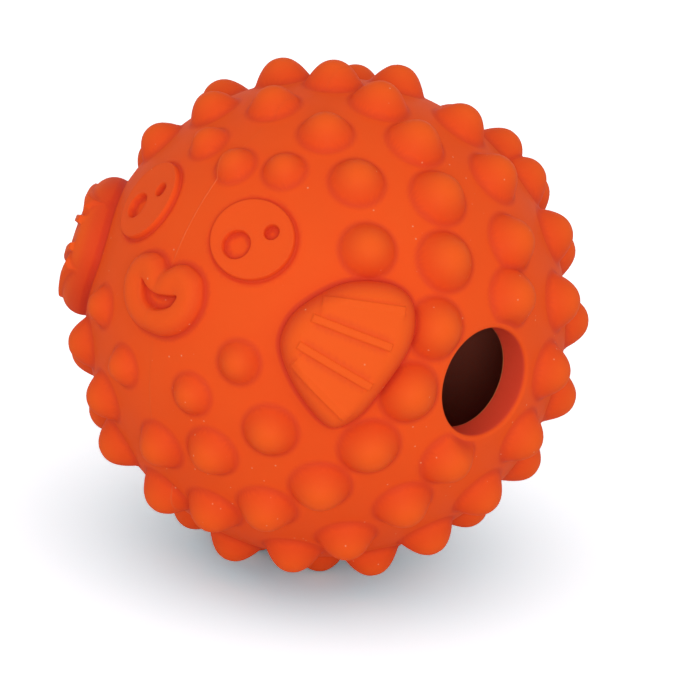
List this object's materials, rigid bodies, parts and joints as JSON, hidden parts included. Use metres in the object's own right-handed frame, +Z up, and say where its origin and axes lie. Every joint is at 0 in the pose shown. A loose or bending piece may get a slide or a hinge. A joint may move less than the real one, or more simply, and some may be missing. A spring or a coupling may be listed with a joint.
{
  "type": "treat-dispensing rubber dog ball",
  "caption": "Hollow rubber treat ball shaped as a puffer fish: bumpy skin, disc eyes, lips and side fins moulded on, and a round hole in one side that lets dry treats in and out",
  "frame": {"origin": "On the ground under the middle of the ball's bounding box, as the ball rests on the bumps of its belly", "axes": "+Z up. +X is the fish's left side and the direction in which the treat hole is bored. -Y is the way the fish faces; its nose is lifted 25 degrees above the ground."},
  "size_m": [0.1066, 0.107, 0.1089],
  "materials": {
    "rubber_left": "matte orange moulded rubber",
    "rubber_right": "matte orange moulded rubber"
  },
  "bodies": {
    "root": {"left_half_shell": "rubber_left", "right_half_shell": "rubber_right"}
  },
  "joints": []
}
